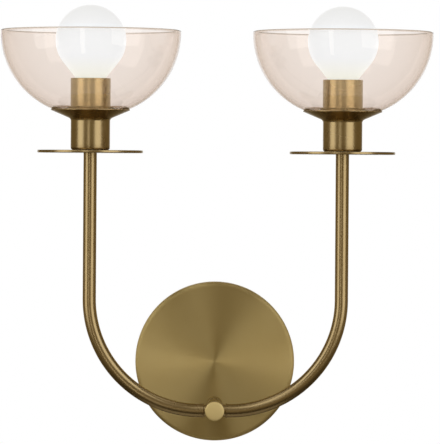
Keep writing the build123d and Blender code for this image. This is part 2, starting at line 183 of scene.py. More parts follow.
# Each lamp's bearing in degrees, then its distance, width, height, level above the sconce and brightness.
for settings in (("softbox_left", -60.0, 1.6, 1.05, 1.9, 0.45, 1.3),
                 ("softbox_right", 45.0, 1.6, 1.30, 1.9, 0.45, 1.3),
                 ("strip_light", -13.0, 1.6, 0.16, 1.9, 0.12, 1.5),
                 ("softbox_above", -24.0, 1.1, 0.90, 0.9, 1.15, 1.0)):
    softbox(*settings)

floor_level = -1.25
floor_side = 1.4
floor_glow = 0.6
bpy.ops.object.select_all(action="DESELECT")
bpy.ops.mesh.primitive_plane_add(size=floor_side, location=(0, 0, floor_level))
floor = bpy.context.object
floor.name = "studio_floor"
bpy.ops.object.transform_apply()
# Matt painted board: pale, with the faint cloudiness of a rolled coat.
painted_board, tree, shader = surface("painted_board", {"Roughness": 0.85, "Specular IOR Level": 0.2})
coat = blend(tree, noise(tree, spot(tree), 3.0, 3.0), "E6E4E1", "ECEAE7")
for socket in ("Base Color", "Emission Color"):
    tree.links.new(coat, shader.inputs[socket])
# The board looks pale to the eye and through glass, and still takes the sconce's shadow.
tree.links.new(calculate(tree, "MULTIPLY", seen_directly(tree), floor_glow), shader.inputs["Emission Strength"])
floor.data.materials.append(painted_board)


# ---------------------------------------------------------------------------
# Backplate.  A shallow pan of 1.2 mm brass, spun on the lathe: its face was brushed while it turned, so
# the light runs over it in two lobes.  Two grub screws in its side and the post's nut hold it.
# ---------------------------------------------------------------------------
mm = 0.001
wall_side = Vector((0, 0, 0))
out = Vector((0, -1, 0))
up = Vector((0, 0, 1))


def arc(centre, radius, start, end, pieces):
    """Points of an arc in a section, from one bearing in degrees to another."""
    turns = [math.radians(start + (end - start) * i / pieces) for i in range(pieces + 1)]
    return [(centre[0] + radius * math.cos(t), centre[1] + radius * math.sin(t)) for t in turns]


def only(piece):
    """Selects one piece and nothing else."""
    bpy.ops.object.select_all(action="DESELECT")
    piece.select_set(True)
    bpy.context.view_layer.objects.active = piece


def open_edges():
    """Selects the rings where the mesh still ends."""
    bpy.ops.mesh.select_all(action="DESELECT")
    bpy.ops.mesh.select_non_manifold(extend=False, use_wire=False, use_multi_face=False,
                                     use_non_contiguous=False, use_verts=False)


def turned(name, foot, axis, section, steps=96, shell=False):
    """Draws a ring out along a section, as on a lathe.  The section holds radius and height in mm;
    where it starts or ends on the axis it is closed there, and a shell is left open."""
    rings = [point for point in section if point[0] > 0]
    radius, height = rings[0]
    bpy.ops.object.select_all(action="DESELECT")
    bpy.ops.mesh.primitive_circle_add(vertices=steps, radius=radius * mm, location=foot + axis * height * mm,
                                      rotation=up.rotation_difference(axis).to_euler())
    piece = bpy.context.object
    piece.name = name
    bpy.ops.object.transform_apply()
    bpy.ops.object.mode_set(mode="EDIT")
    bpy.ops.mesh.select_mode(type="VERT")
    bpy.ops.mesh.select_all(action="SELECT")
    for wide, high in rings[1:]:
        bpy.ops.mesh.extrude_region_move(TRANSFORM_OT_translate={"value": axis * (high - height) * mm})
        grow = wide / radius
        if abs(grow - 1) > 1e-9:
            bpy.ops.transform.resize(value=[1 if abs(c) > 0.5 else grow for c in axis],
                                     center_override=foot + axis * high * mm)
        radius, height = wide, high
    if section[-1][0] == 0:
        bpy.ops.mesh.extrude_region_move(TRANSFORM_OT_translate={"value": axis * (section[-1][1] - height) * mm})
        bpy.ops.mesh.merge(type="CENTER")
    if section[0][0] == 0:
        open_edges()
        bpy.ops.mesh.extrude_region_move(
            TRANSFORM_OT_translate={"value": axis * (section[0][1] - rings[0][1]) * mm})
        bpy.ops.mesh.merge(type="CENTER")
    elif section[-1][0] > 0 and not shell:
        open_edges()
        bpy.ops.mesh.bridge_edge_loops()
    bpy.ops.mesh.select_all(action="SELECT")
    bpy.ops.mesh.remove_doubles(threshold=1e-7)
    bpy.ops.mesh.normals_make_consistent(inside=False)
    bpy.ops.object.mode_set(mode="OBJECT")
    return piece


def apply(piece, kind, settings):
    """Adds a modifier to a piece and applies it."""
    only(piece)
    modifier = piece.modifiers.new(kind, kind)
    for name, value in settings.items():
        setattr(modifier, name, value)
    bpy.ops.object.modifier_apply(modifier=modifier.name)


def soften(piece, edge, smooth=35.0):
    """Rounds the sharp edges a little, so that they catch the light, and smooths the rest."""
    only(piece)
    bpy.ops.object.shade_smooth_by_angle(angle=math.radians(smooth))
    if edge > 0:
        apply(piece, "BEVEL", {"width": edge * mm, "segments": 3, "limit_method": "ANGLE",
                               "angle_limit": math.radians(smooth), "harden_normals": True})
        bpy.ops.object.shade_smooth_by_angle(angle=math.radians(smooth))


def cut(piece, cutter):
    """Cuts one form out of a piece."""
    apply(piece, "BOOLEAN", {"operation": "DIFFERENCE", "solver": "EXACT", "object": cutter})
    bpy.data.objects.remove(cutter)


def fit(piece, node, body, material):
    """The piece stands for a node, moves with its body and has its finish."""
    piece.data.materials.clear()
    piece.data.materials.append(material)
    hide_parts(node)
    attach(piece, body)


plate_radius = 75.5
plate_depth = 22.0
plate_sheet = 1.2
plate_edge = 4.0
post_level = -41.5
plate_screw_from_wall = 8.0
post_way_radius = 5.2
screw_way_radius = 2.25

sheet = plate_sheet / 2
corner = (plate_radius - plate_edge, plate_depth - plate_edge)
line = [(plate_radius - sheet, height) for height in (0, 9, 16)]
line += arc(corner, plate_edge - sheet, 0, 90, 10)
line += [(radius, plate_depth - sheet) for radius in (70.5, 50, 25, 5, 0)]
pan = turned("spun_backplate", wall_side, out, line, 192, shell=True)
apply(pan, "SOLIDIFY", {"thickness": plate_sheet * mm, "offset": 0.0, "use_even_offset": True})
for foot, axis, radius, low, high in (
        (Vector((0, 0, post_level * mm)), out, post_way_radius, 15, 30),
        (Vector((0, -plate_screw_from_wall * mm, 0)), Vector((1, 0, 0)), screw_way_radius, -90, 90)):
    cut(pan, turned("cutter", foot, axis, [(0, low), (radius, low), (radius, high), (0, high)], 48))
soften(pan, 0.15)


def brushed_round(name, height, roughness, spread, colours):
    """Brass brushed in circles on the lathe and lacquered, about an axis at one height.  The light runs
    across the rings.  They are typically 0.1 mm apart and are drawn at 0.8 mm, to show at all."""
    material, tree, shader = surface(name, {"Metallic": 1.0, "Anisotropic": spread})
    place = spot(tree)
    centred = put(tree, "ShaderNodeVectorMath", {"operation": "SUBTRACT"}, {0: place, 1: (0, 0, height)}).outputs[0]
    flat = put(tree, "ShaderNodeVectorMath", {"operation": "MULTIPLY"}, {0: centred, 1: (1.0, 0.0, 1.0)}).outputs[0]
    radius = put(tree, "ShaderNodeVectorMath", {"operation": "LENGTH"}, {0: flat}).outputs["Value"]
    rings = put(tree, "ShaderNodeTexNoise", {"noise_dimensions": "1D"}, {
        "W": radius, "Scale": 1200.0, "Detail": 3.0, "Roughness": 0.65}).outputs[0]
    brass = blend(tree, calculate(tree, "MULTIPLY_ADD", rings, 0.55, 0.2), colours[0], colours[1])
    aged = blend(tree, noise(tree, place, 22.0, 3.0), brass, colours[2])
    rough = between(tree, rings, roughness - 0.04, roughness + 0.04, 0.3, 0.7)
    bump = put(tree, "ShaderNodeBump", {}, {"Strength": 0.06, "Distance": 0.0001, "Height": rings}).outputs[0]
    across = put(tree, "ShaderNodeVectorMath", {"operation": "NORMALIZE"}, {0: flat}).outputs[0]
    for output, socket in ((aged, "Base Color"), (rough, "Roughness"), (bump, "Normal"), (across, "Tangent")):
        tree.links.new(output, shader.inputs[socket])
    return material


# The pan's finish: a warm aged gold with a wide spread of light.
lathe_brass = brushed_round("lathe_brushed_brass", 0.0, 0.5, 0.9, ("D1BE87", "D9C792", "CDB87E"))
fit(pan, "backplate", "sconce", lathe_brass)


# ---------------------------------------------------------------------------
# Mounting bracket.  A bent strap of zinc-plated steel, screwed to the junction box.  Its ears hold the
# pan by two grub screws, and the green screw takes the protective conductor.
# ---------------------------------------------------------------------------
def dress(nodes, material):
    """Gives the model's own pieces a material."""
    for node in nodes:
        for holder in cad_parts[node].material_slots:
            holder.material = material


def mirrored(piece, name):
    """A copy of a right-hand piece, mirrored to the left side."""
    only(piece)
    bpy.ops.object.duplicate()
    twin = bpy.context.object
    twin.name = name
    bpy.ops.object.mode_set(mode="EDIT")
    bpy.ops.mesh.select_all(action="SELECT")
    bpy.ops.transform.resize(value=(-1, 1, 1), center_override=(0, 0, 0))
    bpy.ops.mesh.flip_normals()
    bpy.ops.object.mode_set(mode="OBJECT")
    return twin


# Bright zinc on steel: cool grey with soft spangle and a trace of yellow passivation.
zinc, tree, shader = surface("zinc_plated_steel", {"Metallic": 1.0})
place = spot(tree)
spangle = put(tree, "ShaderNodeTexVoronoi", {}, {"Vector": place, "Scale": 260.0}).outputs["Color"]
spangle = put(tree, "ShaderNodeRGBToBW", {}, {"Color": spangle}).outputs[0]
plating = blend(tree, noise(tree, place, 60.0, 4.0), blend(tree, spangle, "B9BAB7", "CFCFCB"), "C6C1AC")
tree.links.new(plating, shader.inputs["Base Color"])
tree.links.new(between(tree, spangle, 0.28, 0.45), shader.inputs["Roughness"])
dress(["mounting_bracket"], zinc)

# Grub screws with a hexagon socket, flush with the pan's side.
along = Vector((1, 0, 0))
screw_line = Vector((0, -plate_screw_from_wall * mm, 0))
grub = turned("grub_screws", screw_line, along, [
    (0, 70), (1.6, 70), (2.0, 70.4), (2.0, plate_radius - 0.3), (1.7, plate_radius), (0, plate_radius)], 48)
socket = turned("cutter", screw_line, along, [(0, 73.3), (1.15, 73.6), (1.15, 77), (0, 77)], 6)
cut(grub, socket)
mirrored(grub, "grub_screw_left")
grub.select_set(True)
bpy.context.view_layer.objects.active = grub
bpy.ops.object.join()
soften(grub, 0.06)
fit(grub, "plate_screws", "sconce", zinc)

# Green passivated ground screw: a hexagon head with a slot, on a plain shank.
ground_line = Vector((0.019, 0, 0))
ground = turned("ground_screw_slotted", ground_line, out, [
    (0, 0), (1.95, 0), (1.95, 2.0), (4.6, 2.0), (4.6, 4.2), (4.1, 4.6), (0, 4.6)], 6)
slot_line = ground_line + out * 0.0042
cut(ground, turned("cutter", slot_line, up, [(0, -6), (0.75, -6), (0.75, 6), (0, 6)], 4))
soften(ground, 0.12)
# Green chromate over zinc: a thin, glossy, slightly uneven dye.
green_zinc, tree, shader = surface("green_chromated_steel", {"Metallic": 0.85, "Roughness": 0.32})
tree.links.new(blend(tree, noise(tree, spot(tree), 420.0, 3.0), "1F5A2C", "3F8A45"), shader.inputs["Base Color"])
fit(ground, "ground_screw", "sconce", green_zinc)


# ---------------------------------------------------------------------------
# Post.  A short brass tube that carries the hub.  Its bushed end is drawn against the pan by a threaded
# tube of zinc-plated steel, a washer and a nut.
# ---------------------------------------------------------------------------
post_line = Vector((0, 0, post_level * mm))
post_radius = 8.0
post_bore = 6.6
post_end = 100.0
thread_pitch = 0.94
thread_depth = 0.5


def divide(piece, foot, axis, low, high, cuts):
    """Divides the straight stretch between two heights into even rings."""
    only(piece)
    bpy.ops.object.mode_set(mode="EDIT")
    bpy.ops.mesh.select_mode(type="EDGE")
    bpy.ops.mesh.select_all(action="DESELECT")
    bpy.ops.object.mode_set(mode="OBJECT")
    height = [(vertex.co - foot).dot(axis) / mm for vertex in piece.data.vertices]
    for edge in piece.data.edges:
        ends = sorted(height[i] for i in edge.vertices)
        edge.select = abs(ends[0] - low) < 0.01 and abs(ends[1] - high) < 0.01
    bpy.ops.object.mode_set(mode="EDIT")
    bpy.ops.mesh.subdivide(number_cuts=cuts)
    bpy.ops.object.mode_set(mode="OBJECT")


def wind_thread(piece, foot, axis, low, high, pitch, depth, walls):
    """Winds a right-hand thread with round crests between two heights, into the walls within a span of radii."""
    side = axis.orthogonal().normalized()
    if abs(axis.z) > 0.5:
        side = Vector((1, 0, 0))
    other = axis.cross(side)
    for vertex in piece.data.vertices:
        arm = vertex.co - foot
        height = arm.dot(axis) / mm
        across = arm - axis * arm.dot(axis)
        radius = across.length / mm
        if low < height < high and walls[0] < radius < walls[1]:
            turn = math.atan2(across.dot(other), across.dot(side))
            fade = min(1.0, (height - low) / pitch, (high - height) / pitch)
            wave = depth / 2 * (math.cos(2 * math.pi * height / pitch - turn) - 1) * fade
            vertex.co += across.normalized() * wave * mm


washer_foot = 19.8
washer_top = 20.8
washer = turned("post_washer_pressed", post_line, out, [
    (5.0, washer_foot), (9.5, washer_foot), (9.5, washer_top), (5.0, washer_top)])
soften(washer, 0.12)
fit(washer, "post_washer", "sconce", zinc)

nut_corner = 7.0 / math.cos(math.radians(30))
nut_foot = 16.8
nut = turned("post_nut_hexagon", post_line, out, [
    (5.0, nut_foot), (6.9, nut_foot), (nut_corner, nut_foot + 0.45), (nut_corner, washer_foot - 0.45),
    (6.9, washer_foot), (5.0, washer_foot)], 6)
soften(nut, 0.08, 25.0)
fit(nut, "post_nut", "sconce", zinc)

nipple_bore = 3.75
nipple_radius = 4.95
nipple_foot = 14.3
nipple_end = 31.0
thread_start = nipple_foot + 0.35
thread_end = 16.75
nipple = turned("post_nipple_threaded", post_line, out, [
    (nipple_bore, nipple_foot), (nipple_radius - 0.35, nipple_foot), (nipple_radius, thread_start),
    (nipple_radius, thread_end), (nipple_radius, nipple_end), (nipple_bore, nipple_end)], 64)
divide(nipple, post_line, out, thread_start, thread_end, 24)
wind_thread(nipple, post_line, out, nipple_foot + 0.1, thread_end + 0.25, thread_pitch, thread_depth, (4.4, 5.1))
soften(nipple, 0.0)
fit(nipple, "post_nipple", "sconce", zinc)

tube = turned("post_tube", post_line, out, [
    (post_bore, plate_depth), (post_radius, plate_depth), (post_radius, 45), (post_radius, 75),
    (post_radius, post_end), (post_bore, post_end)])
soften(tube, 0.15)

# Satin brass: tube and turned or spun pieces, polished round and round and lacquered to an aged gold.
# The polishing lines are typically 0.1 mm apart.  They are drawn at 2 mm, so that a trace of them shows
# in the colour.  The lacquer's gloss and the surface wander slowly, over a few centimetres.
satin_brass, tree, shader = surface("satin_polished_brass", {"Metallic": 1.0})
place = spot(tree)
across = put(tree, "ShaderNodeMapping", {}, {"Vector": place, "Scale": (40.0, 40.0, 500.0)}).outputs[0]
cloud = noise(tree, place, 26.0, 2.0)
brass = blend(tree, noise(tree, across, 1.0, 2.0), "AB9973", "AE9D78")
aged = blend(tree, cloud, brass, "A8936A")
rough = between(tree, cloud, 0.255, 0.285, 0.3, 0.7)
bump = put(tree, "ShaderNodeBump", {}, {"Strength": 0.5, "Distance": 0.0001, "Height": cloud}).outputs[0]
for output, socket in ((aged, "Base Color"), (rough, "Roughness"), (bump, "Normal")):
    tree.links.new(output, shader.inputs[socket])
fit(tube, "post", "sconce", satin_brass)

# Turned brass left as machined: golden, with fine feed marks.  They are typically 0.2 mm apart and
# are drawn at 0.35 mm.
raw_brass, tree, shader = surface("machined_brass", {"Metallic": 1.0, "Roughness": 0.22})
feed = put(tree, "ShaderNodeTexWave", {"bands_direction": "Z"}, {
    "Vector": spot(tree), "Scale": 900.0, "Distortion": 0.6, "Detail": 1.0}).outputs["Fac"]
tree.links.new(blend(tree, feed, "D9B866", "E8CB80"), shader.inputs["Base Color"])
dress(["post_bush"], raw_brass)


# ---------------------------------------------------------------------------
# Hub and finial.  A turned brass block, brazed on the post and cross-bored for the arms' ferrules, closed
# in front by a flat cap on a stud.
# ---------------------------------------------------------------------------
hub_radius = 8.3
hub_front = 119.5
arm_level = post_level
arm_reach = 110.0
ferrule_neck = 5.5
ferrule_seat = 6.2161
spigot_foot = 92.0
spigot_radius = post_bore - 0.05
hub_bore = 4.2
stud_hole = 3.05
stud_floor = 115.5

hub = turned("hub_block", post_line, out, [
    (0, arm_reach), (hub_bore, arm_reach), (hub_bore, spigot_foot), (spigot_radius, spigot_foot),
    (spigot_radius, post_end), (hub_radius, post_end), (hub_radius, 105), (hub_radius, 115),
    (hub_radius, hub_front), (stud_hole, hub_front), (stud_hole, stud_floor), (0, stud_floor)])
cross_line = Vector((0, -arm_reach * mm, arm_level * mm))
cross_bore = 4.95
neck_hole = ferrule_neck + 0.05
cut(hub, turned("cutter", cross_line, along, [
    (0, -12), (neck_hole, -12), (neck_hole, -ferrule_seat), (cross_bore, -ferrule_seat),
    (cross_bore, ferrule_seat), (neck_hole, ferrule_seat), (neck_hole, 12), (0, 12)], 64))
soften(hub, 0.12)
fit(hub, "hub", "sconce", satin_brass)

# The cap's face is slightly domed inside its rounded edge.
cap_radius = 8.85
cap_front = 124.0
stud_radius = 2.95
finial = turned("finial_cap", post_line, out, [
    (0, stud_floor + 0.1), (stud_radius, stud_floor + 0.1), (stud_radius, hub_front),
    (cap_radius - 0.25, hub_front), (cap_radius, hub_front + 0.25),
    (cap_radius, cap_front - 0.95), (cap_radius - 0.15, cap_front - 0.7), (cap_radius - 0.5, cap_front - 0.5),
    (7.2, cap_front - 0.33), (6, cap_front - 0.22), (4.5, cap_front - 0.12), (3, cap_front - 0.05),
    (1.5, cap_front - 0.01), (0, cap_front)])
soften(finial, 0.06)
# The cap's face was brushed with a coarser grit, so its gloss is soft and even from every side.  Its
# colours are a paler copy of the brass elsewhere: a painted highlight for the light its face catches.
cap_brass_painted_highlight = brushed_round("coarse_brushed_brass_painted_highlight", post_level * mm, 0.58, 0.0, ("F0DFA7", "F4E5B6", "EBD89C"))
fit(finial, "finial", "sconce", cap_brass_painted_highlight)


# ---------------------------------------------------------------------------
# Arms.  Each is one brass tube of 12.4 mm, bent through a quarter turn and polished.  A turned ferrule
# with a thin ring joins it to the hub.
# ---------------------------------------------------------------------------
arm_x = 117.0
tube_radius = 6.2
tube_bore = 5.0
bend_radius = 103.0
bend_start = arm_x - bend_radius
ring_start = 10.2
ring_end = 11.5
disc_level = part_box("disc_right")[0].z / mm
bend_centre = Vector((bend_start, -arm_reach, arm_level + bend_radius)) * mm
bend_steps = 72
straight_parts = 6


def bent_tube(name, radius):
    """One skin of the arm: a ring drawn out, spun round the bend and drawn up to the disc."""
    start = Vector((ring_end, -arm_reach, arm_level)) * mm
    bpy.ops.object.select_all(action="DESELECT")
    bpy.ops.mesh.primitive_circle_add(vertices=48, radius=radius * mm, location=start, rotation=(0, math.pi / 2, 0))
    skin = bpy.context.object
    skin.name = name
    bpy.ops.object.transform_apply()
    bpy.ops.object.mode_set(mode="EDIT")
    bpy.ops.mesh.select_all(action="SELECT")
    bpy.ops.mesh.extrude_region_move(TRANSFORM_OT_translate={"value": ((bend_start - ring_end) * mm, 0, 0)})
    bpy.ops.mesh.spin(steps=bend_steps, angle=math.pi / 2, center=bend_centre, axis=(0, 1, 0))
    length = (disc_level - arm_level - bend_radius) * mm
    for part in range(straight_parts):
        bpy.ops.mesh.extrude_region_move(TRANSFORM_OT_translate={"value": (0, 0, length / straight_parts)})
    bpy.ops.object.mode_set(mode="OBJECT")
    return skin


arm = bent_tube("bent_arm_right", tube_radius)
bent_tube("bore", tube_bore)
arm.select_set(True)
bpy.context.view_layer.objects.active = arm
bpy.ops.object.join()
bpy.ops.object.mode_set(mode="EDIT")
# At each end a flat ring joins the outer skin to the bore.
for end in (0, 1):
    open_edges()
    bpy.ops.object.mode_set(mode="OBJECT")
    for vertex in arm.data.vertices:
        if (vertex.co.z > bend_centre.z) != (end == 1):
            vertex.select = False
    for edge in arm.data.edges:
        edge.select = all(arm.data.vertices[i].select for i in edge.vertices)
    bpy.ops.object.mode_set(mode="EDIT")
    bpy.ops.mesh.select_mode(type="EDGE")
    bpy.ops.mesh.bridge_edge_loops()
    bpy.ops.mesh.select_mode(type="VERT")
bpy.ops.mesh.select_all(action="SELECT")
bpy.ops.mesh.normals_make_consistent(inside=False)
bpy.ops.object.mode_set(mode="OBJECT")
soften(arm, 0.1)
arm_left = mirrored(arm, "bent_arm_left")
fit(arm, "arm_right", "sconce", satin_brass)
fit(arm_left, "arm_left", "sconce", satin_brass)

ferrule_bore = 3.4
ferrule_thread = 4.9
ferrule_spigot = 4.95
ring_radius = 6.8
ferrule = turned("ferrule_right", cross_line, along, [
    (ferrule_bore, 3.0), (ferrule_thread, 3.0), (ferrule_thread, ferrule_seat), (ferrule_neck, ferrule_seat),
    (ferrule_neck, ring_start - 0.1), (5.6, ring_start), (ring_radius - 0.35, ring_start),
    (ring_radius, ring_start + 0.3), (ring_radius, ring_end - 0.3), (ring_radius - 0.35, ring_end),
    (ferrule_spigot, ring_end), (ferrule_spigot, 13.9), (ferrule_bore, 13.9)])
soften(ferrule, 0.06)
ferrule_left = mirrored(ferrule, "ferrule_left")
fit(ferrule, "arm_ferrule_right", "sconce", satin_brass)
fit(ferrule_left, "arm_ferrule_left", "sconce", satin_brass)


# ---------------------------------------------------------------------------
# Discs and cups.  A flat brass disc lies on each arm's end, and a cup spun from 1 mm brass stands on it,
# its wall opened out to a dish that carries the bowl.  A nut in the cup clamps both on the arm's threaded
# tube.
# ---------------------------------------------------------------------------
arm_line = Vector((arm_x, -arm_reach, 0)) * mm
disc_radius = 49.0
disc_top = 199.5
disc_edge = 0.6
stem_hole = 5.2
cup_sheet = 1.0
cup_mid = 17.75
throat = 229.0
dish_radius = 36.7
dish_slope = 23.0
throat_radius = 4.0
corner_radius = 2.0


def on_both_arms(piece, name, node, body, material):
    """Sets a piece on the right arm and a copy, with a mesh of its own, on the left one."""
    only(piece)
    bpy.ops.object.duplicate_move(TRANSFORM_OT_translate={"value": (-2 * arm_x * mm, 0, 0)})
    twin = bpy.context.object
    bpy.ops.object.transform_apply()
    for holder, side in ((piece, "right"), (twin, "left")):
        holder.name = name + "_" + side
        fit(holder, node + "_" + side, body.replace("SIDE", side), material)


disc = turned("flat_disc", arm_line, up, [
    (stem_hole, disc_level), (25, disc_level), (disc_radius - 1.5, disc_level)]
    + arc((disc_radius - disc_edge, disc_level + disc_edge), disc_edge, -90, 0, 5)
    + arc((disc_radius - disc_edge, disc_top - disc_edge), disc_edge, 0, 90, 5)
    + [(disc_radius - 1.5, disc_top), (25, disc_top), (stem_hole, disc_top)], 160)
soften(disc, 0.1)
on_both_arms(disc, "flat_disc", "disc", "sconce", satin_brass)

floor_mid = disc_top + cup_sheet / 2
bend = 90 - dish_slope
tangent = throat_radius * math.tan(math.radians(bend) / 2)
line = [(stem_hole, floor_mid), (11, floor_mid)]
line += arc((cup_mid - corner_radius, floor_mid + corner_radius), corner_radius, -90, 0, 8)
line += [(cup_mid, 210), (cup_mid, 220)]
line += arc((cup_mid + throat_radius, throat - tangent), throat_radius, 180, 180 - bend, 10)
run = dish_radius - cup_mid
rise = run * math.tan(math.radians(dish_slope))
line += [(cup_mid + run * part / 4, throat + rise * part / 4) for part in (1, 2, 3, 4)]
cup = turned("spun_cup", arm_line, up, line, 128, shell=True)
apply(cup, "SOLIDIFY", {"thickness": cup_sheet * mm, "offset": 0.0, "use_even_offset": True})
soften(cup, 0.22)
on_both_arms(cup, "spun_cup", "cup", "sconce", satin_brass)
dress([piece + side for piece in ("stem_nipple", "cup_washer", "cup_nut") for side in ("_left", "_right")], zinc)


# ---------------------------------------------------------------------------
# Glass bowls.  Blown in a mould from blush-tinted glass, cut flat below, bored, and fire-polished at the
# rim.  Each rests on its dish over a silicone ring and is held down by a second ring under the socket
# sleeve.
# ---------------------------------------------------------------------------
bowl_radius = 83.75
bowl_arc = 77.5
bowl_wall = 2.8
bowl_base = 24.5
bowl_hole = 17.4
clamp_radius = 23.0
bowl_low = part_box("glass_bowl_right")[0].z / mm
bowl_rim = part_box("glass_bowl_right")[1].z / mm
bowl_widest = bowl_rim - 2.0
bowl_floor = bowl_low + 3.0
bowl_offset = bowl_radius - bowl_arc

low_angle = -math.degrees(math.acos((bowl_base - bowl_offset) / bowl_arc))
inner_angle = -math.degrees(math.asin((bowl_widest - bowl_floor) / (bowl_arc - bowl_wall)))
half_wall = bowl_wall / 2
line = [(radius, bowl_low) for radius in (bowl_hole, 20, clamp_radius)]
line += arc((bowl_offset, bowl_widest), bowl_arc, low_angle, 0, 48)
line += arc((bowl_radius - half_wall, bowl_rim - half_wall), half_wall, 0, 180, 12)
line += arc((bowl_offset, bowl_widest), bowl_arc - bowl_wall, 0, inner_angle, 44)
line += [(radius, bowl_floor) for radius in (clamp_radius, 20, bowl_hole)]
bowl = turned("blown_bowl", arm_line, up, line, 192)
soften(bowl, 0.5, 30.0)

# Soda-lime glass with a little selenium pink.  The tint is in its depth, so it deepens towards the
# sides, where the eye looks through more of it.  A blown wall is never quite even, and the rim is melted
# round in the flame.  Just under the rim a band is painted pale and part diffuse: painted shade that draws
# the rim as a thin line.  The glass's real index is 1.5.  At 1.38 the bowls get the light, thin outline that the
# photograph gives them.
painted_rim_start = bowl_rim - 1.5
painted_rim_end = bowl_rim - 0.5
blush_glass, tree, shader = surface("blush_blown_glass", {"Roughness": 0.0, "IOR": 1.38, "Transmission Weight": 1.0})
place = spot(tree)
bump = put(tree, "ShaderNodeBump", {}, {
    "Strength": 0.08, "Distance": 0.001, "Height": noise(tree, place, 16.0, 1.0)}).outputs[0]
level = put(tree, "ShaderNodeSeparateXYZ", {}, {"Vector": place}).outputs["Z"]
# Painted shade: just under the rim the glass turns pale and part diffuse, to draw the rim as a thin line.
rim = between(tree, level, 0.0, 1.0, painted_rim_start * mm, painted_rim_end * mm)
painted_rim_colour = blend(tree, rim, "FFFFFF", "F4E9DE")
clear = between(tree, rim, 1.0, 0.3)
for output, socket in ((bump, "Normal"), (painted_rim_colour, "Base Color"), (clear, "Transmission Weight")):
    tree.links.new(output, shader.inputs[socket])
depth = put(tree, "ShaderNodeVolumeAbsorption", {}, {"Color": linear("DEBC9B"), "Density": 85.0})
tree.links.new(depth.outputs[0], tree.nodes["Material Output"].inputs["Volume"])
on_both_arms(bowl, "blown_bowl", "glass_bowl", "sconce", blush_glass)

# The seat ring is a wedge between the dish and the bowl's foot, with a hair's breadth of air.
seat_inner = 19.5
dish_top = throat + cup_sheet / 2 / math.cos(math.radians(dish_slope))
wedge = [dish_top + (radius - cup_mid) * math.tan(math.radians(dish_slope)) + 0.03
         for radius in (seat_inner, bowl_base)]
seat = turned("seat_ring", arm_line, up, [
    (seat_inner, wedge[0]), (bowl_base, wedge[1]), (bowl_base, bowl_low - 0.02), (seat_inner, bowl_low - 0.02)])
soften(seat, 0.15)
clamp_low = bowl_floor + 0.02
clamp_high = bowl_floor + 1.48
clamp = turned("clamp_ring", arm_line, up, [
    (bowl_hole, clamp_low), (clamp_radius, clamp_low), (clamp_radius, clamp_high), (bowl_hole, clamp_high)])
soften(clamp, 0.25)
# Cast silicone: milky, soft-edged, with a faint dust on it.  The specks are typically 0.1 mm and
# are drawn at 1.4 mm.
silicone, tree, shader = surface("cast_silicone", {
    "Roughness": 0.5, "IOR": 1.41, "Transmission Weight": 0.4, "Subsurface Weight": 0.2})
tree.links.new(blend(tree, noise(tree, spot(tree), 700.0, 3.0), "D9D6CE", "E9E6DF"), shader.inputs["Base Color"])
on_both_arms(seat, "seat_ring", "seat_gasket", "sconce", silicone)
on_both_arms(clamp, "clamp_ring", "clamp_gasket", "sconce", silicone)


# ---------------------------------------------------------------------------
# Socket sleeves.  A turned brass ring that screws down over the lampholder and clamps the bowl with its
# foot.  Its top edge is thin and bright.
# ---------------------------------------------------------------------------
sleeve_radius = 18.6
sleeve_bore = 17.15
sleeve_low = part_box("socket_sleeve_right")[0].z / mm
sleeve_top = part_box("socket_sleeve_right")[1].z / mm
foot_radius = 20.4
foot_top = sleeve_low + 1.8
foot_edge = 0.3
fillet = 0.5
sleeve = turned("turned_sleeve", arm_line, up, [
    (sleeve_bore, sleeve_low), (foot_radius - foot_edge, sleeve_low), (foot_radius, sleeve_low + foot_edge),
    (foot_radius, foot_top - foot_edge), (foot_radius - foot_edge, foot_top)]
    + arc((sleeve_radius + fillet, foot_top + fillet), fillet, 270, 180, 4) + [
    (sleeve_radius, foot_top + 4), (sleeve_radius, sleeve_top - 5), (sleeve_radius, sleeve_top - 0.4),
    (sleeve_radius - 0.4, sleeve_top), (17.6, sleeve_top), (sleeve_bore, sleeve_top - 0.45)])
soften(sleeve, 0.08)
on_both_arms(sleeve, "turned_sleeve", "socket_sleeve", "sconce", satin_brass)


# ---------------------------------------------------------------------------
# Lampholders.  Moulded phenolic bodies for medium-base lamps, screwed on the arms' threaded tubes.  Each
# holds a pressed brass screw shell and the sprung tongue that touches the lamp's button.
# ---------------------------------------------------------------------------
holder_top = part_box("lampholder_right")[1].z / mm
holder_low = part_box("lampholder_right")[0].z / mm
well_floor = holder_top - 27.0
lamp_pitch = 3.629
chamber_radius = 4.0
chamber_top = well_floor - 2.5
thread_hole = 5.0
thread_top = holder_low + 8
base_radius = 14.5
collar_radius = 17.1
collar_low = well_floor - 4.5
well_radius = 13.85
body = turned("moulded_lampholder", arm_line, up, [
    (0, chamber_top), (chamber_radius, chamber_top), (chamber_radius, thread_top), (thread_hole, thread_top),
    (thread_hole, holder_low), (base_radius - 0.4, holder_low), (base_radius, holder_low + 0.4),
    (base_radius, collar_low), (collar_radius - 0.3, collar_low), (collar_radius, collar_low + 0.3),
    (collar_radius, holder_top - 0.5), (collar_radius - 0.4, holder_top), (14.3, holder_top),
    (well_radius, holder_top - 0.5), (well_radius, well_floor), (0, well_floor)])
soften(body, 0.12)
# Phenolic moulding: near black, glossy where the tool was polished, with a trace of wood-flour grain.
# The flour is typically 0.2 mm and is drawn at 1.9 mm.
phenolic, tree, shader = surface("moulded_phenolic", {"IOR": 1.6})
flour = noise(tree, spot(tree), 520.0, 4.0)
tree.links.new(blend(tree, flour, "231D19", "3A302A"), shader.inputs["Base Color"])
tree.links.new(between(tree, flour, 0.28, 0.45), shader.inputs["Roughness"])
on_both_arms(body, "moulded_lampholder", "lampholder", "sconce", phenolic)

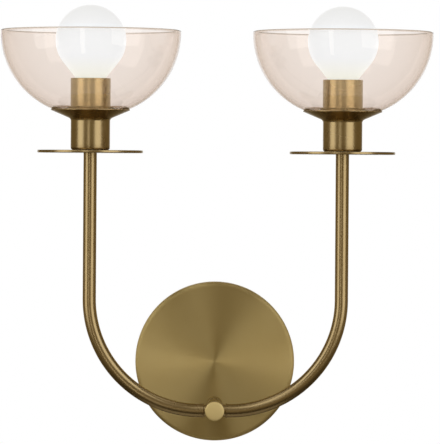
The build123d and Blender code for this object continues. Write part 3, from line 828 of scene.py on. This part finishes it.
shell_top = holder_top - 2.0
shell_outer = 13.7
shell_inner = 13.3
shell_hole = 6.5
thread_low = well_floor + 3
thread_high = shell_top - 1.5
lamp_thread_depth = 1.0
thread_rings = 56
shell = turned("pressed_screw_shell", arm_line, up, [
    (shell_hole, well_floor + 0.05), (13.0, well_floor + 0.05), (shell_outer, well_floor + 0.7),
    (shell_outer, thread_low), (shell_outer, thread_high), (13.75, shell_top), (13.35, shell_top),
    (shell_inner, thread_high), (shell_inner, thread_low), (shell_inner, well_floor + 0.9),
    (12.8, well_floor + 0.5), (shell_hole, well_floor + 0.5)], 64)
divide(shell, arm_line, up, thread_low, thread_high, thread_rings)
wind_thread(shell, arm_line, up, thread_low - 0.1, thread_high + 0.1, lamp_pitch, lamp_thread_depth, (13.0, 14.0))
soften(shell, 0.0)
on_both_arms(shell, "pressed_screw_shell", "screw_shell", "sconce", raw_brass)
dress(["centre_contact_left", "centre_contact_right"], raw_brass)


# ---------------------------------------------------------------------------
# Lamps.  Frosted globes of 65 mm, lit, each cemented into a nickel-plated screw cap with a black glass
# insulator and a soldered button.  They screw out of the lampholders along a thread of 3.629 mm pitch.
# ---------------------------------------------------------------------------
lamp = "lamp_SIDE"
globe_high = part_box("lamp_globe_right")[1].z / mm
globe_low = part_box("lamp_globe_right")[0].z / mm
globe_radius = 32.75
globe_middle = globe_high - globe_radius
cap_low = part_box("lamp_cap_right")[0].z / mm
cap_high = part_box("lamp_cap_right")[1].z / mm
cap_radius = 13.15
neck = (14.5, cap_high + 2.3)


def globe_skin(inset):
    """Half section of one skin of the globe, from its foot to its top."""
    mouth = 12.4 - inset
    radius = globe_radius - inset
    waist = neck[0] - inset
    drop = globe_middle - neck[1]
    touch = math.degrees(math.acos(radius / math.hypot(waist, drop)) - math.atan2(drop, waist))
    points = [(mouth, globe_low + 0.02), (mouth, cap_high - 0.4), (mouth + 0.3, cap_high + 0.6)]
    points += [(waist - 0.3, neck[1] - 0.9), (waist, neck[1])]
    ball = arc((0, globe_middle), radius, touch, 90, 48)
    points += [((waist * 2 + ball[0][0]) / 3, (neck[1] * 2 + ball[0][1]) / 3)]
    points += [((waist + ball[0][0] * 2) / 3, (neck[1] + ball[0][1] * 2) / 3)]
    return points + ball[:-1] + [(0, globe_middle + radius)]


globe = turned("frosted_globe", arm_line, up, globe_skin(1.0)[::-1] + globe_skin(0), 128)
soften(globe, 0.0)
# Glass frosted inside and lit: white, a little warmer at the neck and dimmer at the crown.  The frost's
# grain is typically some hundredths of a millimetre and is drawn at 1.1 mm.
frosted, tree, shader = surface("frosted_lit_glass", {
    "Roughness": 0.45, "IOR": 1.5, "Specular IOR Level": 0.3, "Emission Strength": 1.0})
place = spot(tree)
frost = blend(tree, noise(tree, place, 900.0, 2.0), "6C6C6E", "787878")
level = put(tree, "ShaderNodeSeparateXYZ", {}, {"Vector": place}).outputs["Z"]
height = between(tree, level, 0.0, 1.0, cap_high * mm, globe_high * mm)
glow = put(tree, "ShaderNodeValToRGB", {}, {"Fac": height})
stops = glow.color_ramp.elements
stops[0].color = linear("F0F5EA")
stops[1].color = linear("DFE0E0")
for share, colour in ((0.30, "EAF2F8"), (0.62, "E9F1F7"), (0.75, "E2E3E4")):
    stops.new(share).color = linear(colour)
tree.links.new(frost, shader.inputs["Base Color"])
tree.links.new(glow.outputs["Color"], shader.inputs["Emission Color"])
on_both_arms(globe, "frosted_globe", "lamp_globe", lamp, frosted)

cap_outer = 12.95
cap_inner = 12.55
thread_low = cap_low + 3.0
thread_high = cap_high - 4.4
cap = turned("screw_cap", arm_line, up, [
    (10.6, cap_low + 0.05), (11.0, cap_low), (12.75, cap_low + 2.2), (cap_outer, thread_low), (cap_outer, thread_high),
    (cap_outer, cap_high - 1.0), (cap_radius, cap_high - 0.5), (cap_radius, cap_high - 0.05), (12.8, cap_high),
    (12.75, cap_high - 0.6), (cap_inner, cap_high - 1.2), (cap_inner, thread_high), (cap_inner, thread_low),
    (12.4, cap_low + 2.6)], 64)
divide(cap, arm_line, up, thread_low, thread_high, thread_rings)
wind_thread(cap, arm_line, up, thread_low - 0.1, thread_high + 0.1, lamp_pitch, lamp_thread_depth, (12.0, 13.1))
soften(cap, 0.0)
# Nickel plate over pressed brass: a warm silver, dulled by handling.
nickel, tree, shader = surface("nickel_plated_brass", {"Metallic": 1.0})
handled = noise(tree, spot(tree), 160.0, 4.0)
tree.links.new(blend(tree, handled, "BDB8AC", "D2CEC4"), shader.inputs["Base Color"])
tree.links.new(between(tree, handled, 0.18, 0.36), shader.inputs["Roughness"])
on_both_arms(cap, "screw_cap", "lamp_cap", lamp, nickel)

button_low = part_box("lamp_eyelet_right")[0].z / mm
stem_top = button_low + 3.05
insulator = turned("glass_insulator", arm_line, up, [
    (0, stem_top), (1.55, stem_top), (1.55, button_low + 0.85), (4.4, button_low + 0.85), (6.0, button_low + 1.05),
    (10.2, cap_low + 0.1), (11.4, cap_low + 1.3), (11.4, cap_low + 4.0), (0, cap_low + 4.0)])
soften(insulator, 0.1)
# Black vitrite glass, cast into the cap: glossy, with flow marks.
vitrite, tree, shader = surface("cast_vitrite", {"Roughness": 0.12, "IOR": 1.55})
flow = noise(tree, spot(tree), 300.0, 2.0)
tree.links.new(blend(tree, flow, "15151A", "2A2A33"), shader.inputs["Base Color"])
bump = put(tree, "ShaderNodeBump", {}, {"Strength": 0.3, "Distance": 0.0003, "Height": flow})
tree.links.new(bump.outputs[0], shader.inputs["Normal"])
on_both_arms(insulator, "glass_insulator", "lamp_insulator", lamp, vitrite)

button_top = button_low + 0.8
button = turned("soldered_button", arm_line, up, [
    (0, button_low), (2.0, button_low + 0.03), (3.7, button_low + 0.2), (4.5, button_low + 0.6), (4.45, button_top),
    (1.5, button_top), (1.5, button_low + 3.0), (0, button_low + 3.0)], 48)
soften(button, 0.05)
on_both_arms(button, "soldered_button", "lamp_eyelet", lamp + "_contact", raw_brass)


# ---------------------------------------------------------------------------
# Leads and connectors.  A black and a white conductor run from each lampholder through the arm, hub and
# post into the pan, where closed-end nylon connectors crimp the two of a colour together.
# ---------------------------------------------------------------------------
def insulation(name, deep, pale):
    """Extruded insulation: an even colour with a faint grain.  It is typically under 0.1 mm and is drawn
    at 2.6 mm."""
    material, tree, shader = surface(name, {"IOR": 1.47})
    drawn = noise(tree, spot(tree), 380.0, 3.0)
    tree.links.new(blend(tree, drawn, deep, pale), shader.inputs["Base Color"])
    tree.links.new(between(tree, drawn, 0.34, 0.5), shader.inputs["Roughness"])
    return material


dress(["leads_live"], insulation("black_silicone_insulation", "1C1C1D", "2B2B2C"))
dress(["leads_neutral"], insulation("white_silicone_insulation", "DCDBD6", "EFEEEA"))

connector_low = post_level + 14.5
connectors = []
for x, from_wall in ((-6.0, 9.4), (6.0, 5.6)):
    foot = Vector((x, -from_wall, connector_low)) * mm
    crimp = turned("crimped_connectors", foot, up, [
        (0, 9.0), (2.45, 9.0), (2.45, 0.9), (3.0, 0.0), (3.9, 0.0), (4.2, 0.4), (4.2, 1.6), (3.75, 2.2), (3.75, 4.2),
        (3.1, 5.0), (3.1, 7.6), (3.75, 8.4), (3.75, 12.6)] + arc((1.35, 13.1), 2.4, 0, 80, 6) + [(0, 15.5)], 48)
    connectors.append(crimp)
crimps = connectors[0]
only(connectors[1])
crimps.select_set(True)
bpy.context.view_layer.objects.active = crimps
bpy.ops.object.join()
soften(crimps, 0.08)
# Moulded nylon: milky and a little waxy.
nylon, tree, shader = surface("moulded_nylon", {
    "Roughness": 0.38, "IOR": 1.53, "Subsurface Weight": 0.15})
tree.links.new(blend(tree, noise(tree, spot(tree), 260.0, 3.0), "D8D3C4", "E9E5D8"), shader.inputs["Base Color"])
fit(crimps, "wire_connectors", "sconce", nylon)


bpy.context.view_layer.update()
